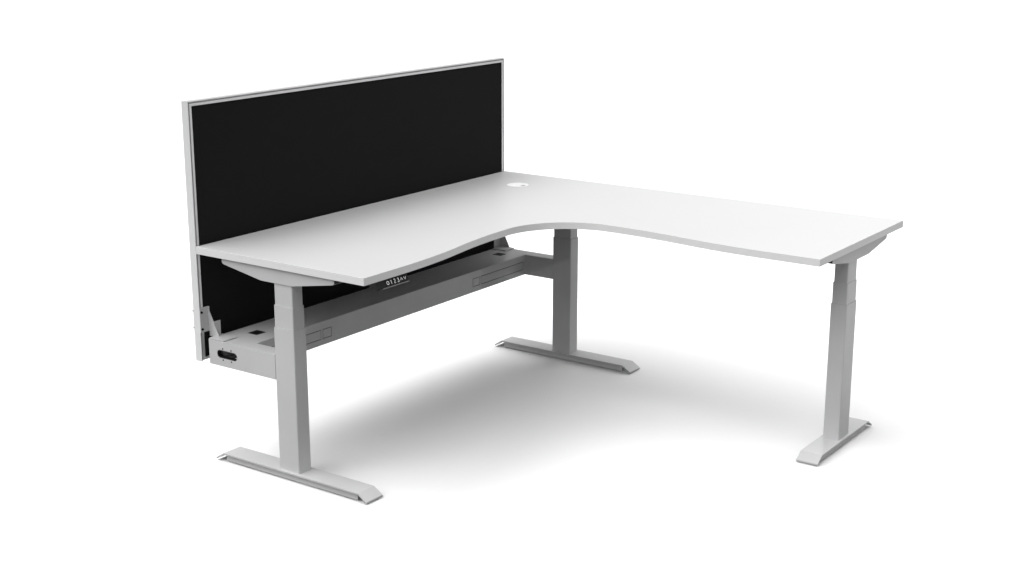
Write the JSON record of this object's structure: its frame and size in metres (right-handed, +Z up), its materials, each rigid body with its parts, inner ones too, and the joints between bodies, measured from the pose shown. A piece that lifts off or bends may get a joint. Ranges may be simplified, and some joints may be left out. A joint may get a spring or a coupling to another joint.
{
  "type": "height-adjustable corner desk",
  "caption": "L-shaped sit-stand desk on telescopic electric columns, with a cable beam, a fabric-covered privacy screen, a cable grommet and a key handset.",
  "frame": {"origin": "on the floor, at the middle of the overall plan", "axes": "+X along the right wing away from the screen, -Y along the left wing towards the user, +Z up"},
  "size_m": [1.842, 1.8, 1.25],
  "materials": {
    "white_laminate": "white laminate on board, fine matt texture",
    "edge_plastic": "pale plastic edging, satin",
    "silver_coat": "fine-grained silver-grey powder coat",
    "anodised": "satin anodised extrusion",
    "screen_fabric": "black woven upholstery over board",
    "zinc_steel": "bright zinc-plated steel",
    "drive_steel": "oiled turned steel",
    "guide_plastic": "dark low-friction plastic",
    "white_plastic": "white moulded plastic",
    "black_plastic": "black fine-textured plastic",
    "key_plastic": "black keys with light print",
    "motor_metal": "black motor housing",
    "glide_rubber": "dark moulded glide",
    "black_steel": "black-coated screw heads"
  },
  "bodies": {
    "base": {"left_foot": "silver_coat", "corner_foot": "silver_coat", "right_foot": "silver_coat", "foot_rails": "silver_coat", "levelling_glides": "glide_rubber", "column_bases": "zinc_steel", "column_bolts": "zinc_steel", "left_outer_tube": "silver_coat", "corner_outer_tube": "silver_coat", "right_outer_tube": "silver_coat", "outer_guides": "guide_plastic", "fixed_screws": "drive_steel", "beam_spine": "silver_coat", "left_arm": "silver_coat", "corner_arm": "silver_coat", "knockout_covers": "silver_coat", "cable_ports": "black_plastic", "beam_screws": "zinc_steel", "port_screws": "black_steel", "screen_frame": "anodised", "screen_covers": "anodised", "front_tile": "screen_fabric", "rear_tile": "screen_fabric", "screen_brackets": "silver_coat", "clamp_plates": "silver_coat", "screen_screws": "black_steel"},
    "desk": {"desktop": "white_laminate", "edge_band": "edge_plastic", "grommet_sleeve": "white_plastic", "left_inner_tube": "silver_coat", "corner_inner_tube": "silver_coat", "right_inner_tube": "silver_coat", "inner_guides": "guide_plastic", "spindle_nuts": "guide_plastic", "lift_motors": "motor_metal", "left_bracket": "silver_coat", "corner_bracket": "silver_coat", "right_bracket": "silver_coat", "desk_screws": "zinc_steel", "control_box": "black_plastic", "handset_case": "black_plastic"},
    "left_stage": {"left_middle_tube": "silver_coat", "left_stage_bearing": "guide_plastic"},
    "left_spindle": {"left_spindle": "drive_steel"},
    "left_shaft": {"left_drive_shaft": "drive_steel"},
    "corner_stage": {"corner_middle_tube": "silver_coat", "corner_stage_bearing": "guide_plastic"},
    "corner_spindle": {"corner_spindle": "drive_steel"},
    "corner_shaft": {"corner_drive_shaft": "drive_steel"},
    "right_stage": {"right_middle_tube": "silver_coat", "right_stage_bearing": "guide_plastic"},
    "right_spindle": {"right_spindle": "drive_steel"},
    "right_shaft": {"right_drive_shaft": "drive_steel"},
    "key_memory": {"key_memory": "key_plastic"},
    "key_preset_1": {"key_preset_1": "key_plastic"},
    "key_preset_2": {"key_preset_2": "key_plastic"},
    "key_preset_3": {"key_preset_3": "key_plastic"},
    "key_up": {"key_up": "key_plastic"},
    "key_down": {"key_down": "key_plastic"},
    "grommet_cap": {"grommet_cap": "white_plastic"}
  },
  "joints": [
    {"name": "desk_lift", "type": "slide", "parent": "base", "child": "desk", "axis": [0, 0, 1], "range_m": [-0.14, 0.51]},
    {"name": "left_stage_slide", "type": "slide", "parent": "base", "child": "left_stage", "axis": [0, 0, 1], "range_m": [-0.071, 0.256]},
    {"name": "left_spindle_turn", "type": "hinge", "parent": "left_stage", "child": "left_spindle", "pos_m": [-0.493, -0.86, 0.3], "axis": [0, 0, 1], "range_deg": [-2530, 9190]},
    {"name": "left_shaft_turn", "type": "hinge", "parent": "desk", "child": "left_shaft", "pos_m": [-0.493, -0.86, 0.3], "axis": [0, 0, 1], "range_deg": [-2530, 9190]},
    {"name": "corner_stage_slide", "type": "slide", "parent": "base", "child": "corner_stage", "axis": [0, 0, 1], "range_m": [-0.071, 0.256]},
    {"name": "corner_spindle_turn", "type": "hinge", "parent": "corner_stage", "child": "corner_spindle", "pos_m": [-0.493, 0.799, 0.3], "axis": [0, 0, 1], "range_deg": [-2530, 9190]},
    {"name": "corner_shaft_turn", "type": "hinge", "parent": "desk", "child": "corner_shaft", "pos_m": [-0.493, 0.799, 0.3], "axis": [0, 0, 1], "range_deg": [-2530, 9190]},
    {"name": "right_stage_slide", "type": "slide", "parent": "base", "child": "right_stage", "axis": [0, 0, 1], "range_m": [-0.071, 0.256]},
    {"name": "right_spindle_turn", "type": "hinge", "parent": "right_stage", "child": "right_spindle", "pos_m": [0.871, 0.499, 0.3], "axis": [0, 0, 1], "range_deg": [-2530, 9190]},
    {"name": "right_shaft_turn", "type": "hinge", "parent": "desk", "child": "right_shaft", "pos_m": [0.871, 0.499, 0.3], "axis": [0, 0, 1], "range_deg": [-2530, 9190]},
    {"name": "key_memory_press", "type": "slide", "parent": "desk", "child": "key_memory", "axis": [-0.9272, 0, -0.3746], "range_m": [0, 0.0008], "stiffness_N_per_m": 1000},
    {"name": "key_preset_1_press", "type": "slide", "parent": "desk", "child": "key_preset_1", "axis": [-0.9272, 0, -0.3746], "range_m": [0, 0.0008], "stiffness_N_per_m": 1000},
    {"name": "key_preset_2_press", "type": "slide", "parent": "desk", "child": "key_preset_2", "axis": [-0.9272, 0, -0.3746], "range_m": [0, 0.0008], "stiffness_N_per_m": 1000},
    {"name": "key_preset_3_press", "type": "slide", "parent": "desk", "child": "key_preset_3", "axis": [-0.9272, 0, -0.3746], "range_m": [0, 0.0008], "stiffness_N_per_m": 1000},
    {"name": "key_up_press", "type": "slide", "parent": "desk", "child": "key_up", "axis": [-0.9272, 0, -0.3746], "range_m": [0, 0.0008], "stiffness_N_per_m": 1000},
    {"name": "key_down_press", "type": "slide", "parent": "desk", "child": "key_down", "axis": [-0.9272, 0, -0.3746], "range_m": [0, 0.0008], "stiffness_N_per_m": 1000},
    {"name": "grommet_cap_turn", "type": "hinge", "parent": "desk", "child": "grommet_cap", "pos_m": [-0.646, 0.665, 0.76], "axis": [0, 0, 1], "continuous": true}
  ],
  "couplings": [
    {"joint": "left_stage_slide", "follows": "desk_lift", "ratio": 0.5},
    {"joint": "left_spindle_turn", "follows": "desk_lift", "rad_per_m": 314.16},
    {"joint": "left_shaft_turn", "follows": "desk_lift", "rad_per_m": 314.16},
    {"joint": "corner_stage_slide", "follows": "desk_lift", "ratio": 0.5},
    {"joint": "corner_spindle_turn", "follows": "desk_lift", "rad_per_m": 314.16},
    {"joint": "corner_shaft_turn", "follows": "desk_lift", "rad_per_m": 314.16},
    {"joint": "right_stage_slide", "follows": "desk_lift", "ratio": 0.5},
    {"joint": "right_spindle_turn", "follows": "desk_lift", "rad_per_m": 314.16},
    {"joint": "right_shaft_turn", "follows": "desk_lift", "rad_per_m": 314.16}
  ]
}
